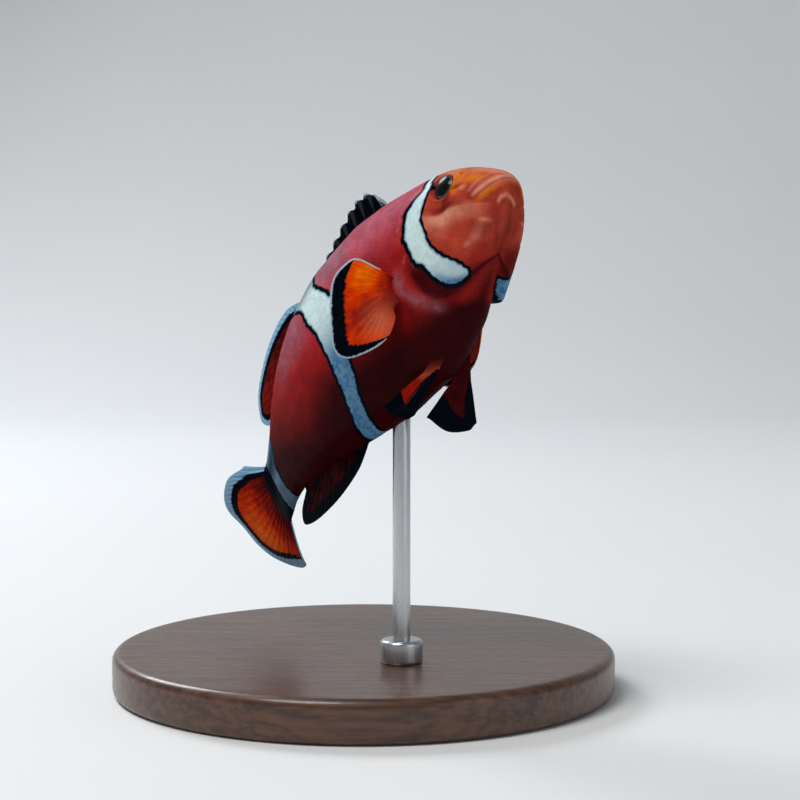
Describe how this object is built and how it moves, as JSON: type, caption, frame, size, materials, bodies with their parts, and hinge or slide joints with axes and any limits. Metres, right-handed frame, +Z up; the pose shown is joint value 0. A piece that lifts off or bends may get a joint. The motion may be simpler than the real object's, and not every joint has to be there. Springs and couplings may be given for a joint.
{
  "type": "clownfish",
  "caption": "Common clownfish swimming upwards with its tail turned aside, a still life-size model on a round wooden base with one steel rod.",
  "frame": {"origin": "middle of the underside of the stand's round base", "axes": "+Z up; the fish swims nose up towards +X and -Y, so a viewer on the -Y side sees its right side and throat"},
  "size_m": [0.07, 0.07, 0.0727],
  "materials": {
    "skin": "satin painted scales, orange red with three white bars edged in black",
    "fin": "satin, orange to maroon with black bands and pale margins",
    "eye": "polished",
    "stand_wood": "oiled walnut",
    "stand_steel": "brushed"
  },
  "bodies": {
    "root": {"head": "skin", "upper_jaw": "skin", "lower_jaw": "skin", "gill_cover_right": "skin", "gill_cover_left": "skin", "eye_right": "eye", "eye_left": "eye", "trunk_front": "skin", "trunk_middle": "skin", "trunk_rear": "skin", "tail_stalk": "skin", "dorsal_fin_spiny": "fin", "dorsal_fin_soft": "fin", "anal_fin": "fin", "tail_fin": "fin", "pectoral_fin_right": "fin", "pectoral_fin_left": "fin", "pelvic_fin_right": "fin", "pelvic_fin_left": "fin", "stand_base": "stand_wood", "stand_collar": "stand_steel", "stand_rod": "stand_steel"}
  },
  "joints": []
}
